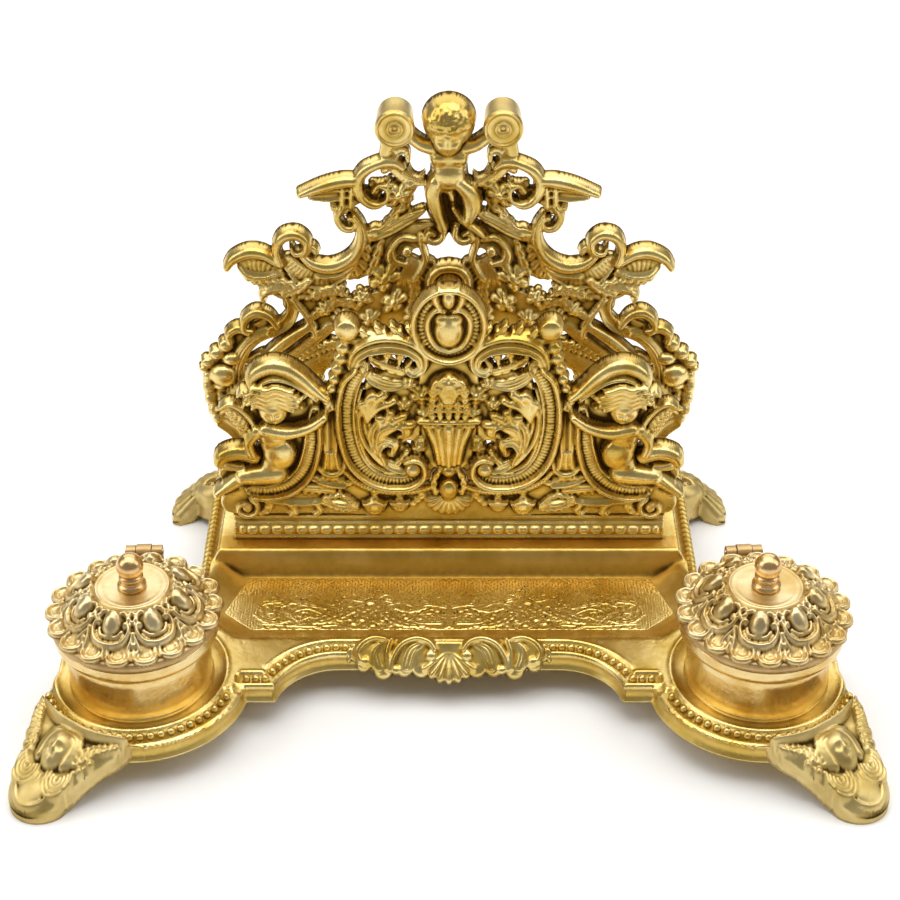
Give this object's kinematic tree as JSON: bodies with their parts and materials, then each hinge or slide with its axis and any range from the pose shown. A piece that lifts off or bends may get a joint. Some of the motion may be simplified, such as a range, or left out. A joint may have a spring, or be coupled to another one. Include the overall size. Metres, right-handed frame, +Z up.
{
  "type": "desk inkstand",
  "caption": "Cast brass desk inkstand: footed tray base, two round ink cups with hinged embossed lids, and a pierced scrollwork letter rack.",
  "frame": {"origin": "on the table under the middle of the stand", "axes": "+X to the right, +Y from the pen tray to the letter rack, +Z up"},
  "size_m": [0.2888, 0.1879, 0.1831],
  "materials": {
    "brass": "polished, dark in the hollows",
    "rose_brass": "polished, slightly red",
    "steel": "plain",
    "glass": "clear, pressed"
  },
  "bodies": {
    "root": {"base_casting": "brass", "front_panel": "brass", "back_panel": "brass", "front_panel_screws": "steel", "back_panel_screws": "steel", "left_cup": "brass", "left_cup_screw": "steel", "left_liner": "glass", "left_hinge_bracket": "brass", "left_hinge_pin": "steel", "right_cup": "brass", "right_cup_screw": "steel", "right_liner": "glass", "right_hinge_bracket": "brass", "right_hinge_pin": "steel"},
    "left_lid": {"left_lid_shell": "brass", "left_lid_ring": "rose_brass", "left_hinge_leaf": "brass", "left_knob": "rose_brass", "left_knob_nut": "steel"},
    "right_lid": {"right_lid_shell": "brass", "right_lid_ring": "rose_brass", "right_hinge_leaf": "brass", "right_knob": "rose_brass", "right_knob_nut": "steel"}
  },
  "joints": [
    {"name": "left_lid_hinge", "type": "hinge", "parent": "root", "child": "left_lid", "pos_m": [-0.10567, -0.00562, 0.0432], "axis": [-0.9994, -0.0349, 0], "range_deg": [0, 105]},
    {"name": "right_lid_hinge", "type": "hinge", "parent": "root", "child": "right_lid", "pos_m": [0.10217, -0.00568, 0.0432], "axis": [-0.9976, -0.0698, 0], "range_deg": [0, 105]}
  ]
}
